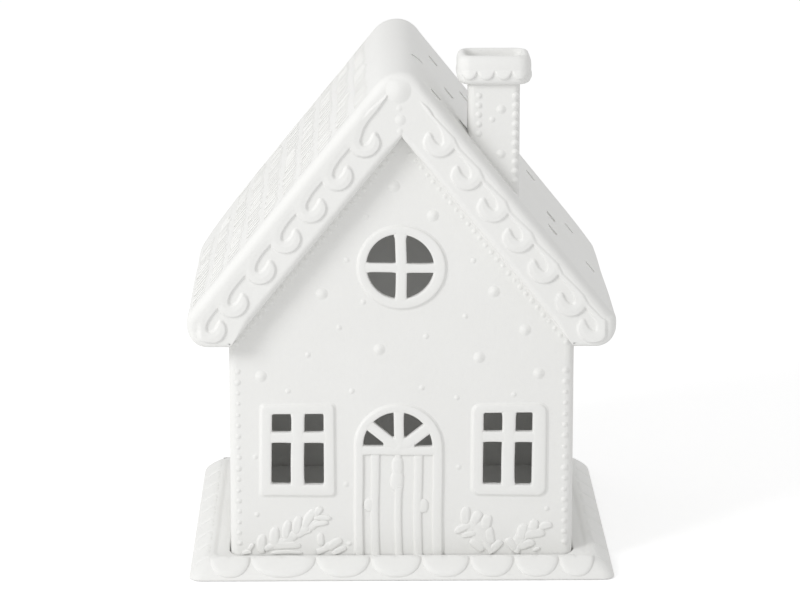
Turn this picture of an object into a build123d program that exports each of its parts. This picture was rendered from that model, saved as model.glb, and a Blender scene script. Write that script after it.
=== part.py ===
"""White ceramic tealight house: a gable-fronted cottage that drops into a scalloped tray.

Front faces -Y, +Z is up, the middle of the tray's underside is the origin, millimetres.
"""
import os
from math import cos, hypot, radians, sin, tan

from build123d import *

# House walls
WALL_W = 137.2
WALL_D = 131.2
WALL_T = 4.6
WALL_CORNER_R = 3.5
EAVE_Z = 94.3

# Tray
TRAY_MARGIN = 16.4
RIM_H = 8.0
RIM_IN = 8.6
RIM_TOP = 1.8
LEDGE_Z = 7.3
WELL_Z = 4.3
WELL_GAP = 1.4
TRAY_CORNER_R = 3.6
SCALLOP_PROUD = 1.1
SCALLOP_DROP = 0.8
FRONT_CUTS = (0.0, 0.106, 0.277, 0.418, 0.551, 0.676, 0.792, 0.908, 1.0)
SIDE_SCALLOPS = 8

# Roof
PITCH = 50.86
BOARD = 20.0
OVERHANG = 8.9
EAVE_OUT = 15.8
RIDGE_R = 12.5
EAVE_R = 8.0
ROOF_SKIN = 6.0
ROOF_EDGE_R = 4.0
SOFFIT_EDGE_R = 3.4
BACK_LEFT_R = 25.0
BACK_RIGHT_R = 9.0

# Icing band on the front bargeboards
SCROLL_SHARE = 0.1208
SCROLL_COUNT = 7
SCROLL_FIRST = 7.35
SCROLL_IN = 9.9
ICING_ABOVE_EAVE = 1.6
ICING_PROUD = 1.2

# Chimney on the right slope, close behind the front gable
STACK_X = 36.2
STACK_W = 20.2
STACK_D = 17.0
STACK_SET = 9.0
STACK_BELOW = 12.88
FLUE_W = 12.0
FLUE_D = 7.2
CAP_W = 28.8
CAP_D = 24.6
CAP_H = 11.5
CAP_WELL_W = 20.6
CAP_WELL_D = 12.6
CAP_CORNER_R = 4.5
CAP_EDGE_R = 2.4

# Windows and door, heights above the table
RELIEF = 1.3
WIN_W = 29.6
WIN_H = 37.7
WIN_Z = 49.7
WIN_LEFT_AT = -0.605
WIN_RIGHT_AT = 0.627
WIN_LEFT_CORNER = 0.9
WIN_RIGHT_CORNER = 2.7
WIN_BORDER = 4.4
WIN_TOP = 3.8
WIN_SILL = 5.0
WIN_BAR = 5.2
PANE_TOP_H = 7.4
TRANSOM_H = 4.5
RING_W = 34.9
RING_H = 33.6
RING_Z = 124.4
RING_RIM = 4.0
RING_BAR_V = 4.7
RING_BAR_H = 3.7
DOOR_X = -1.1
DOOR_W = 35.1
DOOR_TOP = 68.5
DOOR_SPRING = 51.2
DOOR_JAMB = 3.4
DOOR_TRANSOM = 3.4
FAN_BAR = 4.1
FAN_HUB = 5.6
RIB_W = 2.7
KNOB_R = 2.5

# Tealight
CUP_D = 38.0
CUP_H = 16.0
CUP_T = 0.5
WAX_H = 13.0
WICK_D = 1.8
WICK_OUT = 5.0
FOOT_D = 12.0
FOOT_T = 0.6

# Sizes that follow
HALF_W = WALL_W / 2
HALF_D = WALL_D / 2
TRAY_W = WALL_W + 2 * TRAY_MARGIN
TRAY_D = WALL_D + 2 * TRAY_MARGIN
RISE = tan(radians(PITCH))
RUN = cos(radians(PITCH))
INNER_APEX = EAVE_Z + HALF_W * RISE
OUTER_APEX = INNER_APEX + BOARD / RUN
STACK_TOP = OUTER_APEX - STACK_BELOW
ROOF_HALF = HALF_D + OVERHANG
EAVE_X = HALF_W + EAVE_OUT
SCROLL_STEP = SCROLL_SHARE * EAVE_X / RUN
WIN_LEFT_X = WIN_LEFT_AT * HALF_W
WIN_RIGHT_X = WIN_RIGHT_AT * HALF_W
SOFT_R = 0.5 * RELIEF
FRONT = Plane.XZ.offset(HALF_D)
BOARD_FACE = Plane.XZ.offset(ROOF_HALF)


def polygon(points):
    """A flat face through the points."""
    return make_face(Polyline(*points, close=True))


def along_y(sketch, half):
    """A face drawn in x and z, carried to both sides along y."""
    return extrude(Plane.XZ * sketch, amount=half, both=True)


def plug(sketch, proud):
    """A face drawn in x and z, set through the front wall and standing proud of it."""
    return extrude(Plane.XZ.offset(HALF_D + proud) * sketch, amount=-(WALL_T + proud))


def upright(width, depth, z0, z1, radius, x=0.0, y=0.0):
    """A box with rounded upright edges."""
    return extrude(Pos(x, y, z0) * RectangleRounded(width, depth, radius), amount=z1 - z0)


def soft_front(solid, radius, least=0.0):
    """Rounds the edges of the foremost face that are longer than a least length."""
    face = solid.faces().sort_by(Axis.Y)[0]
    return fillet([e for e in face.edges() if e.length > least], radius)


def lobes(length, cuts, plane, drop):
    """Half-round lobes that hang from a crest line, as one row on a slope."""
    row = []
    for left, right in zip(cuts[:-1], cuts[1:]):
        mid = (left + right) / 2 * length - length / 2
        half = (right - left) / 2 * length * 0.985
        arch = Ellipse(half, drop) & Pos(0, -drop) * Rectangle(3 * half, 2 * drop)
        row.append(extrude(plane * Pos(mid, -0.5) * arch, amount=SCALLOP_PROUD))
        row.append(extrude(plane * Pos(mid, -0.5) * arch, amount=-0.8))
    return row


def base_tray():
    """Sloping sides, flat crest, ledge, a well that the walls stand in, and the raised floor inside."""
    foot = Pos(0, 0, 0) * RectangleRounded(TRAY_W, TRAY_D, TRAY_CORNER_R)
    crest_w = TRAY_W - 2 * RIM_IN
    crest_d = TRAY_D - 2 * RIM_IN
    crest = Pos(0, 0, RIM_H) * RectangleRounded(crest_w, crest_d, TRAY_CORNER_R * 0.7)
    body = loft([foot, crest], ruled=True)
    floor_w = WALL_W - 2 * WALL_T - 2 * WELL_GAP
    floor_d = WALL_D - 2 * WALL_T - 2 * WELL_GAP
    well_w = WALL_W + 2 * WELL_GAP
    well_d = WALL_D + 2 * WELL_GAP
    floor = upright(floor_w, floor_d, 0, RIM_H + 1, 2.0)
    ledge_low = Pos(0, 0, LEDGE_Z) * RectangleRounded(crest_w - 2 * RIM_TOP - 2.4, crest_d - 2 * RIM_TOP - 2.4, 2.0)
    ledge_high = Pos(0, 0, RIM_H + 0.01) * RectangleRounded(crest_w - 2 * RIM_TOP, crest_d - 2 * RIM_TOP, 2.0)
    body -= loft([ledge_low, ledge_high], ruled=True) - floor
    body -= upright(well_w, well_d, WELL_Z, RIM_H + 1, WALL_CORNER_R + WELL_GAP) - floor
    slope = hypot(RIM_IN, RIM_H)
    drop = slope * SCALLOP_DROP
    even = [i / SIDE_SCALLOPS for i in range(SIDE_SCALLOPS + 1)]
    rows = []
    for turn, length, half, cuts in (
        (0, crest_w, crest_d / 2, FRONT_CUTS),
        (90, crest_d, crest_w / 2, even),
        (180, crest_w, crest_d / 2, even),
        (270, crest_d, crest_w / 2, even),
    ):
        plane = Plane(origin=(0, -half, RIM_H), x_dir=(1, 0, 0), z_dir=(0, -RIM_H, RIM_IN))
        rows += [Rot(0, 0, turn) * lobe for lobe in lobes(length, cuts, plane, drop)]
    return body.fuse(*rows)


def pane_set():
    """The four panes of a window, drawn about the middle of its frame."""
    pane_w = (WIN_W - 2 * WIN_BORDER - WIN_BAR) / 2
    low_h = WIN_H - WIN_TOP - WIN_SILL - TRANSOM_H - PANE_TOP_H
    x = (pane_w + WIN_BAR) / 2
    z_top = WIN_H / 2 - WIN_TOP - PANE_TOP_H / 2
    z_low = -WIN_H / 2 + WIN_SILL + low_h / 2
    panes = Sketch()
    for side in (-1, 1):
        panes += Pos(side * x, z_top) * Rectangle(pane_w, PANE_TOP_H)
        panes += Pos(side * x, z_low) * Rectangle(pane_w, low_h)
    return panes


def window(x, corner):
    """A raised frame with a cross of bars and four open panes."""
    sketch = RectangleRounded(WIN_W, WIN_H, corner) - pane_set()
    return soft_front(plug(Pos(x, WIN_Z) * sketch, RELIEF), SOFT_R)


def gable_window():
    """A raised, slightly oval ring with a cross of bars."""
    opening = Ellipse(RING_W / 2 - RING_RIM, RING_H / 2 - RING_RIM)
    bars = Rectangle(RING_BAR_V, RING_H) + Rectangle(RING_W, RING_BAR_H)
    sketch = Ellipse(RING_W / 2, RING_H / 2) - (opening - bars)
    return soft_front(plug(Pos(0, RING_Z) * sketch, RELIEF), SOFT_R, 2 * RING_RIM)


def door_outline():
    """The arched outline of the door surround, down to the foot of the wall."""
    rise = DOOR_TOP - DOOR_SPRING
    tall = DOOR_SPRING - WELL_Z
    arch = Ellipse(DOOR_W / 2, rise) & Pos(0, rise) * Rectangle(2 * DOOR_W, 2 * rise)
    return Pos(DOOR_X, DOOR_SPRING) * arch + Pos(DOOR_X, WELL_Z + tall / 2) * Rectangle(DOOR_W, tall)


def leaf_outline():
    """The opening below the transom."""
    tall = DOOR_SPRING - DOOR_TRANSOM - WELL_Z
    return Pos(DOOR_X, WELL_Z + tall / 2) * Rectangle(DOOR_W - 2 * DOOR_JAMB, tall)


def door_surround():
    """Jambs, arch, transom and a fanlight of four panes between radial bars."""
    wide = DOOR_W / 2 - DOOR_JAMB - 0.8
    rise = DOOR_TOP - DOOR_SPRING - DOOR_JAMB
    fan = Ellipse(wide, rise) & Pos(0, rise) * Rectangle(4 * wide, 2 * rise)
    fan -= Circle(FAN_HUB)
    fan -= Pos(0, rise / 2) * Rectangle(FAN_BAR, 2 * rise)
    for turn in (40, 140):
        fan -= Rot(0, 0, turn) * Pos(wide, 0) * Rectangle(2 * wide, FAN_BAR)
    sketch = door_outline() - leaf_outline() - Pos(DOOR_X, DOOR_SPRING) * fan
    return soft_front(plug(sketch, RELIEF), SOFT_R, DOOR_W)


def door_leaf():
    """Flush panel with three ribs, a lantern shape on the middle rib and two knobs."""
    panel = plug(leaf_outline(), 0.0)
    tall = DOOR_SPRING - DOOR_TRANSOM - WELL_Z
    mid = WELL_Z + tall / 2
    ribs = Sketch()
    for x in (-9.8, 0.0, 7.3):
        ribs += Pos(DOOR_X + x * DOOR_W / 35.1, mid) * Rectangle(RIB_W, tall)
    lantern = Pos(DOOR_X, WELL_Z + 0.78 * tall) * Ellipse(2.9, 0.155 * tall)
    relief = extrude(FRONT * (ribs + lantern), amount=0.9)
    knobs = []
    for x in (-11.6, 9.8):
        ball = Pos(DOOR_X + x * DOOR_W / 35.1, -HALF_D, WELL_Z + 0.53 * tall) * Sphere(KNOB_R)
        front = Pos(0, -1.5 * HALF_D, EAVE_Z) * Box(WALL_W, HALF_D, 2 * WALL_W)
        knobs.append(ball & front)
    return panel.fuse(relief, *knobs)


def house_walls():
    """Four walls with two gables, the window openings and the doorway, open below and above."""
    outline = polygon([
        (-HALF_W, WELL_Z), (HALF_W, WELL_Z), (HALF_W, EAVE_Z), (0, INNER_APEX), (-HALF_W, EAVE_Z)
    ])
    shell = along_y(outline, HALF_D)
    tall = [e for e in shell.edges().filter_by(Axis.Z) if e.length > 0.5 * (EAVE_Z - WELL_Z)]
    shell = fillet(tall, WALL_CORNER_R)
    shell -= upright(WALL_W - 2 * WALL_T, WALL_D - 2 * WALL_T, -1, INNER_APEX + 1, 1.5)
    for x, corner in ((WIN_LEFT_X, WIN_LEFT_CORNER), (WIN_RIGHT_X, WIN_RIGHT_CORNER)):
        shell -= plug(Pos(x, WIN_Z) * RectangleRounded(WIN_W, WIN_H, corner), 1.0)
    shell -= plug(Pos(0, RING_Z) * Ellipse(RING_W / 2, RING_H / 2), 1.0)
    shell -= plug(door_outline(), 1.0)
    return shell


def roof():
    """Two slopes with a rounded ridge, boxed eaves and deep bargeboards, hollowed over the room."""
    low_z = OUTER_APEX - EAVE_X * RISE
    outline = polygon([
        (-EAVE_X, EAVE_Z), (-HALF_W, EAVE_Z), (0, INNER_APEX), (HALF_W, EAVE_Z), (EAVE_X, EAVE_Z),
        (EAVE_X, low_z), (0, OUTER_APEX), (-EAVE_X, low_z),
    ])
    ridge = outline.vertices().sort_by(Axis.Y)[-1]
    outline = fillet(ridge, RIDGE_R)
    tips = [v for v in outline.vertices() if abs(abs(v.X) - EAVE_X) < 0.01]
    low = [v for v in tips if v.Y < EAVE_Z + 1]
    outline = fillet(low, EAVE_R)
    high = [v for v in outline.vertices() if abs(abs(v.X) - EAVE_X) < 0.01 and abs(v.Y - low_z) < 0.01]
    outline = fillet(high, EAVE_R * 0.8)
    body = along_y(outline, ROOF_HALF)
    ends = [f for f in body.faces() if abs(abs(f.center().Y) - ROOF_HALF) < 0.01]
    rims = [e for f in ends for e in f.edges() if outer_side(e)]
    body = fillet(rims, ROOF_EDGE_R)
    ends = [f for f in body.faces() if abs(abs(f.center().Y) - ROOF_HALF) < 0.01]
    rakes = [e for f in ends for e in f.edges() if rake_side(e)]
    body = fillet(rakes, SOFFIT_EDGE_R)
    body &= back_corners()
    skin = ROOF_SKIN / RUN
    room_x = HALF_W - WALL_T
    pocket = polygon([
        (-room_x, EAVE_Z - 5), (room_x, EAVE_Z - 5), (room_x, OUTER_APEX - skin - room_x * RISE),
        (0, OUTER_APEX - skin), (-room_x, OUTER_APEX - skin - room_x * RISE),
    ])
    pocket = fillet(pocket.vertices().sort_by(Axis.Y)[-1], RIDGE_R * 0.7)
    body -= along_y(pocket, HALF_D - WALL_T)
    body -= upright(FLUE_W, FLUE_D, EAVE_Z, OUTER_APEX, 1.5, STACK_X, stack_y())
    return body


def outer_side(edge):
    """True for an edge of the roof's end that lies on its outer outline."""
    p = edge.center()
    inner_z = INNER_APEX - abs(p.X) * RISE
    return p.Z > inner_z + 0.5 * BOARD or p.Z < EAVE_Z + 0.1


def rake_side(edge):
    """True for an edge of the roof's end that lies on the raked soffit line."""
    p = edge.center()
    return abs(p.Z - (INNER_APEX - abs(p.X) * RISE)) < 0.1 * BOARD and edge.length > BOARD


def back_corners():
    """An upright block as large as the roof, with its two back corners rounded."""
    plan = Pos(0, 0) * Rectangle(2 * EAVE_X, 2 * ROOF_HALF)
    back = [v for v in plan.vertices() if v.Y > 0]
    plan = fillet([v for v in back if v.X < 0], BACK_LEFT_R)
    plan = fillet([v for v in plan.vertices() if v.Y > 0 and v.X > EAVE_X - 0.01 and v.Y > ROOF_HALF - 0.01], BACK_RIGHT_R)
    return extrude(plan, amount=2 * OUTER_APEX)


def stack_y():
    """The chimney's middle, front to back."""
    return -ROOF_HALF + STACK_SET + STACK_D / 2


def roof_half_space():
    """Everything below the two roof slopes, for the raked foot of the chimney."""
    wide = 2 * EAVE_X
    under = polygon([(-wide, OUTER_APEX - wide * RISE), (wide, OUTER_APEX - wide * RISE), (0, OUTER_APEX)])
    return along_y(under, 2 * ROOF_HALF)


def chimney_stack():
    """A hollow stack whose foot is cut to the slope of the roof."""
    y = stack_y()
    body = upright(STACK_W, STACK_D, EAVE_Z, STACK_TOP, 2.6, STACK_X, y)
    body -= upright(FLUE_W, FLUE_D, EAVE_Z - 1, STACK_TOP + 1, 1.5, STACK_X, y)
    return body - roof_half_space()


def chimney_cap():
    """A rounded cap with a sunk mouth and the flue through it."""
    y = stack_y()
    body = upright(CAP_W, CAP_D, STACK_TOP, STACK_TOP + CAP_H, CAP_CORNER_R, STACK_X, y)
    flats = body.faces().sort_by(Axis.Z)
    body = fillet(flats[-1].edges() + flats[0].edges(), CAP_EDGE_R)
    body -= upright(CAP_WELL_W, CAP_WELL_D, STACK_TOP + 0.45 * CAP_H, STACK_TOP + CAP_H + 1, 2.5, STACK_X, y)
    body -= upright(FLUE_W, FLUE_D, STACK_TOP - 1, STACK_TOP + CAP_H + 1, 1.5, STACK_X, y)
    return body


def scroll_points(top):
    """One wave of the icing about the foot of its hollow: crescent, hook with a round tip, hollow.

    It ends at the cusp to the next wave, or at the top in a tail that thins out beside the gable's tip.
    """
    wave = [
        (-5.0, -1.8), (-3.7, -3.3), (-1.9, -4.6), (0.4, -5.2), (2.7, -4.9), (4.8, -3.7), (6.4, -1.7), (7.1, 0.5),
        (6.8, 2.4), (6.0, 3.9), (5.1, 4.6), (4.3, 4.5), (3.8, 3.8), (3.3, 2.6), (2.6, 1.4), (1.7, 0.5),
        (0.8, 0.0), (0.1, 0.0), (-0.45, 0.6), (-0.6, 1.7), (-0.2, 3.3),
    ]
    cusp = [(0.9, 5.3), (2.2, 7.2), (3.8, 9.1)]
    tail = [(0.5, 5.7), (1.9, 8.3), (4.0, 11.0), (6.1, 13.6), (9.9, 19.1)]
    scale = SCROLL_STEP / 16.15
    return [(scale * x, scale * z) for x, z in wave + (tail if top else cusp)]


def icing(side):
    """The raised band of a bargeboard: a plain margin whose inner edge runs in waves that curl to hooks."""
    up = (RUN, sin(radians(PITCH)))
    across = (up[1], -up[0])
    start = (-EAVE_X, OUTER_APEX - EAVE_X * RISE)
    waves = []
    for i in range(SCROLL_COUNT):
        along = SCROLL_FIRST - EAVE_R + i * SCROLL_STEP
        x0 = start[0] + up[0] * along + across[0] * (BOARD - SCROLL_IN)
        z0 = start[1] + up[1] * along + across[1] * (BOARD - SCROLL_IN)
        wave = scroll_points(i == SCROLL_COUNT - 1)
        waves += [(x0 + x, max(z0 + z, EAVE_Z + ICING_ABOVE_EAVE)) for x, z in wave]
    inset = ROOF_EDGE_R + 1.0
    low = (start[0] + across[0] * inset, start[1] + across[1] * inset)
    reach = SCROLL_FIRST - EAVE_R + (SCROLL_COUNT - 0.06) * SCROLL_STEP
    high = (low[0] + up[0] * reach, low[1] + up[1] * reach)
    edge = [high, low]
    outline = [(-side * x, z) for x, z in waves + edge]
    sketch = polygon(outline)
    return extrude(BOARD_FACE * sketch, amount=ICING_PROUD)


def apex_boss():
    """A ball at the tip of the gable with three drops below it, joined by a thin stem."""
    front = Pos(0, -ROOF_HALF - BOARD, OUTER_APEX - BOARD) * Box(2 * BOARD, 2 * BOARD, 4 * BOARD)
    top = OUTER_APEX - RIDGE_R * (1 / RUN - 1)
    body = extrude(BOARD_FACE * Pos(0, top - 14.5) * Rectangle(1.6, 18), amount=0.7)
    for down, radius in ((6.4, 4.0), (12.9, 1.3), (17.2, 2.3), (21.8, 1.3)):
        body += Pos(0, -ROOF_HALF, top - down) * Sphere(radius) & front
    return body


def tealight():
    """Thin cup, wax with a hole for the wick, wick, and the wick's tin foot."""
    z = RIM_H
    r = CUP_D / 2
    up = Align.CENTER, Align.CENTER, Align.MIN
    cup = Pos(0, 0, z) * Cylinder(r, CUP_H, align=up) - Pos(0, 0, z + CUP_T) * Cylinder(r - CUP_T, CUP_H, align=up)
    foot = Pos(0, 0, z + CUP_T) * Cylinder(FOOT_D / 2, FOOT_T, align=up)
    foot += Pos(0, 0, z + CUP_T + FOOT_T) * Cylinder(WICK_D / 2 + 0.6, 2.5, align=up)
    foot -= Pos(0, 0, z + CUP_T + FOOT_T) * Cylinder(WICK_D / 2, 5, align=up)
    wick_z = z + CUP_T + FOOT_T
    wick = Pos(0, 0, wick_z) * Cylinder(WICK_D / 2, WAX_H - FOOT_T + WICK_OUT, align=up)
    wax = Pos(0, 0, z + CUP_T) * Cylinder(r - CUP_T, WAX_H, align=up)
    wax -= Pos(0, 0, z) * Cylinder(WICK_D / 2, CUP_H * 2, align=up)
    wax -= foot
    return cup, wax, wick, foot


cup, wax, wick, foot = tealight()
nodes = {
    "base_tray": base_tray(),
    "house_walls": house_walls(),
    "roof": roof(),
    "chimney_stack": chimney_stack(),
    "chimney_cap": chimney_cap(),
    "window_left": window(WIN_LEFT_X, WIN_LEFT_CORNER),
    "window_right": window(WIN_RIGHT_X, WIN_RIGHT_CORNER),
    "window_gable": gable_window(),
    "door_surround": door_surround(),
    "door_leaf": door_leaf(),
    "icing_left": icing(1),
    "icing_right": icing(-1),
    "apex_boss": apex_boss(),
    "tealight_cup": cup,
    "tealight_wax": wax,
    "tealight_wick": wick,
    "wick_foot": foot,
}
os.makedirs("parts", exist_ok=True)
for name, shape in nodes.items():
    export_step(shape, f"parts/{name}.step")
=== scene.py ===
"""Dresses the white tealight house: soft slip-cast surfaces, icing scrolls, windows, door, leaves and pearls.

The front faces -Y, +Z is up, and the middle of the tray's underside is the origin. Shapes are worked out
in millimetres and become metres when a mesh is made.
"""

from math import cos, pi, radians, sin, tan

import bmesh
import bpy
import numpy as np
from bpy.props import FloatProperty, FloatVectorProperty, IntProperty, PointerProperty
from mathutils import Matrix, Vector


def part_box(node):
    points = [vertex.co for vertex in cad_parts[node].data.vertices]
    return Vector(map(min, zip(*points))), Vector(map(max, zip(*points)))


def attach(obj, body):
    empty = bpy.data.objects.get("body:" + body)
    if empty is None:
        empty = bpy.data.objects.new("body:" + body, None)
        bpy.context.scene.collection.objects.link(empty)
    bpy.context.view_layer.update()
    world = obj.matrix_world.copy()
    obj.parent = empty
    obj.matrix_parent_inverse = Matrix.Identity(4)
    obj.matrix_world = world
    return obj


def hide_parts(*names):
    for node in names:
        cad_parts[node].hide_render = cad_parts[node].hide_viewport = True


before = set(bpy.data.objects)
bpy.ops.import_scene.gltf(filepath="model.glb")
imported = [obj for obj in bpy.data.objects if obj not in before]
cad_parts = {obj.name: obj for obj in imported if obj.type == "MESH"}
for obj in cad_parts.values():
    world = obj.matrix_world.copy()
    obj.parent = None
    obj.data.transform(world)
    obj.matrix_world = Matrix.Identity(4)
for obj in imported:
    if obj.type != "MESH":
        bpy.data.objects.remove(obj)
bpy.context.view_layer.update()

bl_info = {
    "name": "White tealight house",
    "version": (1, 0, 0),
    "blender": (4, 5, 0),
    "location": "View3D > Sidebar > Tealight house",
    "description": "Builds the soft ceramic surfaces of a tealight house over its packed solids",
    "category": "Add Mesh",
}

MM = 0.001


def box_mm(node):
    """Lowest and highest corner of a solid, in millimetres."""
    low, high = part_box(node)
    return np.array(low) / MM, np.array(high) / MM


WALL_LOW, WALL_HIGH = box_mm("house_walls")
ROOF_LOW, ROOF_HIGH = box_mm("roof")
TRAY_HIGH = box_mm("base_tray")[1]
STACK_LOW, STACK_HIGH = box_mm("chimney_stack")
CAP_LOW, CAP_HIGH = box_mm("chimney_cap")

FRONT, BACK = (0, -1, 0), (0, 1, 0)
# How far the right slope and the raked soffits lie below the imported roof
SINK = 0.9
# Radius of the roof's edge under the eaves
EAVE_EDGE = 1.8
# How far the soffit reaches into the gable walls
SOFFIT_SEAT = 3.0
# How deep the rims of raised lobes are sunk into the face that carries them
LOBE_SUNK = 0.12
# From the ridge down to the first shingle course, and the widths of a cut's ramp and lip
FIRST_COURSE, RAMP, LIP = 13.7, 1.6, 0.65
# Outer face of the tray's section from the crest down, as inset and height
TRAY_FACE = np.array([
    (9.0, 8.0), (8.1, 7.88), (7.2, 7.5), (5.6, 6.55), (3.6, 5.1), (1.8, 3.5), (0.6, 2.0), (0.15, 1.0),
])


def length(name, description, default):
    """A length that a user can change, with its default in millimetres."""
    return FloatProperty(name=name, description=description, default=default * MM, unit="LENGTH")


def tint(name, description, default):
    """A linear colour that a user can change."""
    return FloatVectorProperty(name=name, description=description, default=default, subtype="COLOR")


class HouseSizes(bpy.types.PropertyGroup):
    """Sizes of the surfaces that a user would change."""

    eave_height: length("Eave height", "Underside of the eaves above the table", ROOF_LOW[2])
    pitch: FloatProperty(
        name="Roof pitch", description="Angle of the slopes", default=radians(50.86), subtype="ANGLE")
    board: length("Bargeboard width", "Across the slope, from the roof face to the soffit line", 20.0)
    ridge_round: length("Ridge rounding", "Radius over the ridge", 12.5)
    eave_round: length("Eave rounding", "Radius under the eave tips", 8.0)
    edge_round: length("Roof edge rounding", "Radius from a slope onto the gable face", 3.6)
    soffit_round: length("Soffit rounding", "Radius from a gable face under the rake", 2.8)
    back_left: length("Back left corner", "Plan radius of the back left roof corner", 25.0)
    back_right: length("Back right corner", "Plan radius of the back right roof corner", 13.0)
    glaze: length("Glaze skin", "How far a surface stands off the solid under it", 0.3)
    course: length("Shingle course", "Length of a shingle course down the slope", 11.3)
    shingle: length("Shingle width", "From joint to joint in one course", 6.3)
    cut_depth: length("Shingle cut", "Depth of the cut joints", 0.7)
    scroll_step: length("Scroll step", "From one icing wave to the next", 16.15)
    scroll_count: IntProperty(
        name="Scrolls", description="Icing waves on each bargeboard", default=7, min=1, max=12)
    icing: length("Icing height", "How far the icing stands off the board", 0.95)
    relief: length("Frame relief", "How far window and door frames stand off the wall", 1.1)
    wall: length("Reveal", "Depth of the window reveals", 2.0)
    pearl: length("Pearl radius", "Radius of a pearl in the rows", 1.25)
    pearl_step: length("Pearl spacing", "From pearl to pearl down the corners", 4.45)
    leaf_height: length("Leaf height", "How far a leaf stands off the wall", 0.95)
    lobe_height: length("Scallop height", "How far a scallop stands off the tray", 1.3)


class HouseColours(bpy.types.PropertyGroup):
    """Colours of the finishes, linear."""

    ceramic: tint("Ceramic", "Matte white glaze", (0.83, 0.83, 0.815))
    ceramic_warm: tint("Ceramic tone", "Second tone in the glaze", (0.80, 0.798, 0.78))
    cup: tint("Cup", "Thin aluminium", (0.80, 0.81, 0.82))
    wax: tint("Wax", "White candle wax", (0.86, 0.84, 0.79))
    wick: tint("Wick", "Waxed cotton", (0.78, 0.75, 0.68))
    tin: tint("Wick foot", "Tin plate", (0.62, 0.63, 0.64))
    backdrop: tint("Backdrop", "Pale floor and backdrop", (0.90, 0.90, 0.90))


def sizes():
    """The sizes in millimetres, angles in radians."""
    held = bpy.context.scene.tealight_sizes
    found = {}
    for key in HouseSizes.__annotations__:
        value = getattr(held, key)
        found[key] = value if key in ("pitch", "scroll_count") else value / MM
    return found


def smooth(low, high, x):
    """Zero below low, one above high, and an S curve between them."""
    t = np.clip((x - low) / (high - low), 0.0, 1.0)
    return t * t * (3.0 - 2.0 * t)


def scatter(a, b):
    """A repeatable number from 0 to 1 for each pair of whole numbers: the fraction of a large sine."""
    return np.modf(np.abs(np.sin(a * 12.9898 + b * 78.233 + 0.5) * 43758.5453))[0]


def unit(v):
    """Vectors made one long."""
    return v / np.linalg.norm(v, axis=-1, keepdims=True)


def spots(x, y, z):
    """Points from three arrays or numbers."""
    return np.stack(np.broadcast_arrays(x, y, z), -1)


def grid_faces(rows, cols, ring=False, loop=False):
    """Four-sided faces of a grid of points; ring joins the last column to the first, loop the last row."""
    i = np.arange(rows if loop else rows - 1)[:, None]
    j = np.arange(cols if ring else cols - 1)[None, :]
    i2 = (i + 1) % rows
    j2 = (j + 1) % cols
    return np.stack([i * cols + j, i2 * cols + j, i2 * cols + j2, i * cols + j2], -1).reshape(-1, 4)


def sheet(points, ring=False, loop=False):
    """A grid of points as a pair of points and faces."""
    return points.reshape(-1, 3), grid_faces(*points.shape[:2], ring, loop)


def copies(faces, count, points):
    """The same faces for a number of shapes that lie one after the other in the list of points."""
    return (faces[None] + (np.arange(count) * points)[:, None, None]).reshape(-1, faces.shape[1])


def quarter_turn(along, y, z, quarter, middle=(0.0, 0.0)):
    """Points of shapes on a front face, turned by so many quarters about an upright axis."""
    c, s = cos(quarter * pi / 2), sin(quarter * pi / 2)
    return spots(middle[0] + along * c - y * s, middle[1] + along * s + y * c, z).reshape(-1, 3)


def together(parts):
    """Several (points, faces) pairs as one."""
    start = np.cumsum([0] + [len(p) for p, _ in parts[:-1]])
    return np.concatenate([p for p, _ in parts]), np.concatenate([f + s for (_, f), s in zip(parts, start)])


def put(name, points, faces, inside, body="house", slot="ceramic", replaced=(), sharp=None):
    """Makes a smooth mesh piece: merges poles and seams, and turns the faces away from a point inside.

    Edges that bend more than the sharp angle stay crisp.
    """
    a, b, c, d = (points[faces[:, k]] for k in range(4))
    flux = np.sum(np.cross(c - a, d - b) * ((a + b + c + d) / 4.0 - np.asarray(inside, float)))
    if flux < 0:
        faces = faces[:, ::-1]
    mesh = bpy.data.meshes.new(name)
    mesh.vertices.add(len(points))
    mesh.vertices.foreach_set("co", (points * MM).astype(np.float32).ravel())
    mesh.loops.add(faces.size)
    mesh.loops.foreach_set("vertex_index", faces.astype(np.int32).ravel())
    mesh.polygons.add(len(faces))
    mesh.polygons.foreach_set("loop_start", np.arange(0, faces.size, 4, dtype=np.int32))
    mesh.update(calc_edges=True)
    work = bmesh.new()
    work.from_mesh(mesh)
    bmesh.ops.remove_doubles(work, verts=work.verts, dist=2e-6)
    bmesh.ops.dissolve_degenerate(work, edges=work.edges, dist=1e-7)
    work.to_mesh(mesh)
    work.free()
    mesh.polygons.foreach_set("use_smooth", np.ones(len(mesh.polygons), bool))
    if sharp:
        mesh.set_sharp_from_angle(angle=sharp)
    mesh.materials.append(bpy.data.materials[slot])
    obj = bpy.data.objects.new(name, mesh)
    bpy.context.scene.collection.objects.link(obj)
    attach(obj, body)
    if replaced:
        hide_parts(*replaced)
    return obj


def hand_cut(points, amount=0.22):
    """Shifts points of the front by a slow sine field in x and z, the same for every piece."""
    x, z = points[..., 0].copy(), points[..., 2].copy()
    points[..., 0] += amount * np.sin(z / 6.3 + 1.1) * np.cos(x / 17.0)
    points[..., 2] += amount * np.sin(x / 7.1 + 0.4) * np.cos(z / 15.0 + 0.7)
    return points


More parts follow.
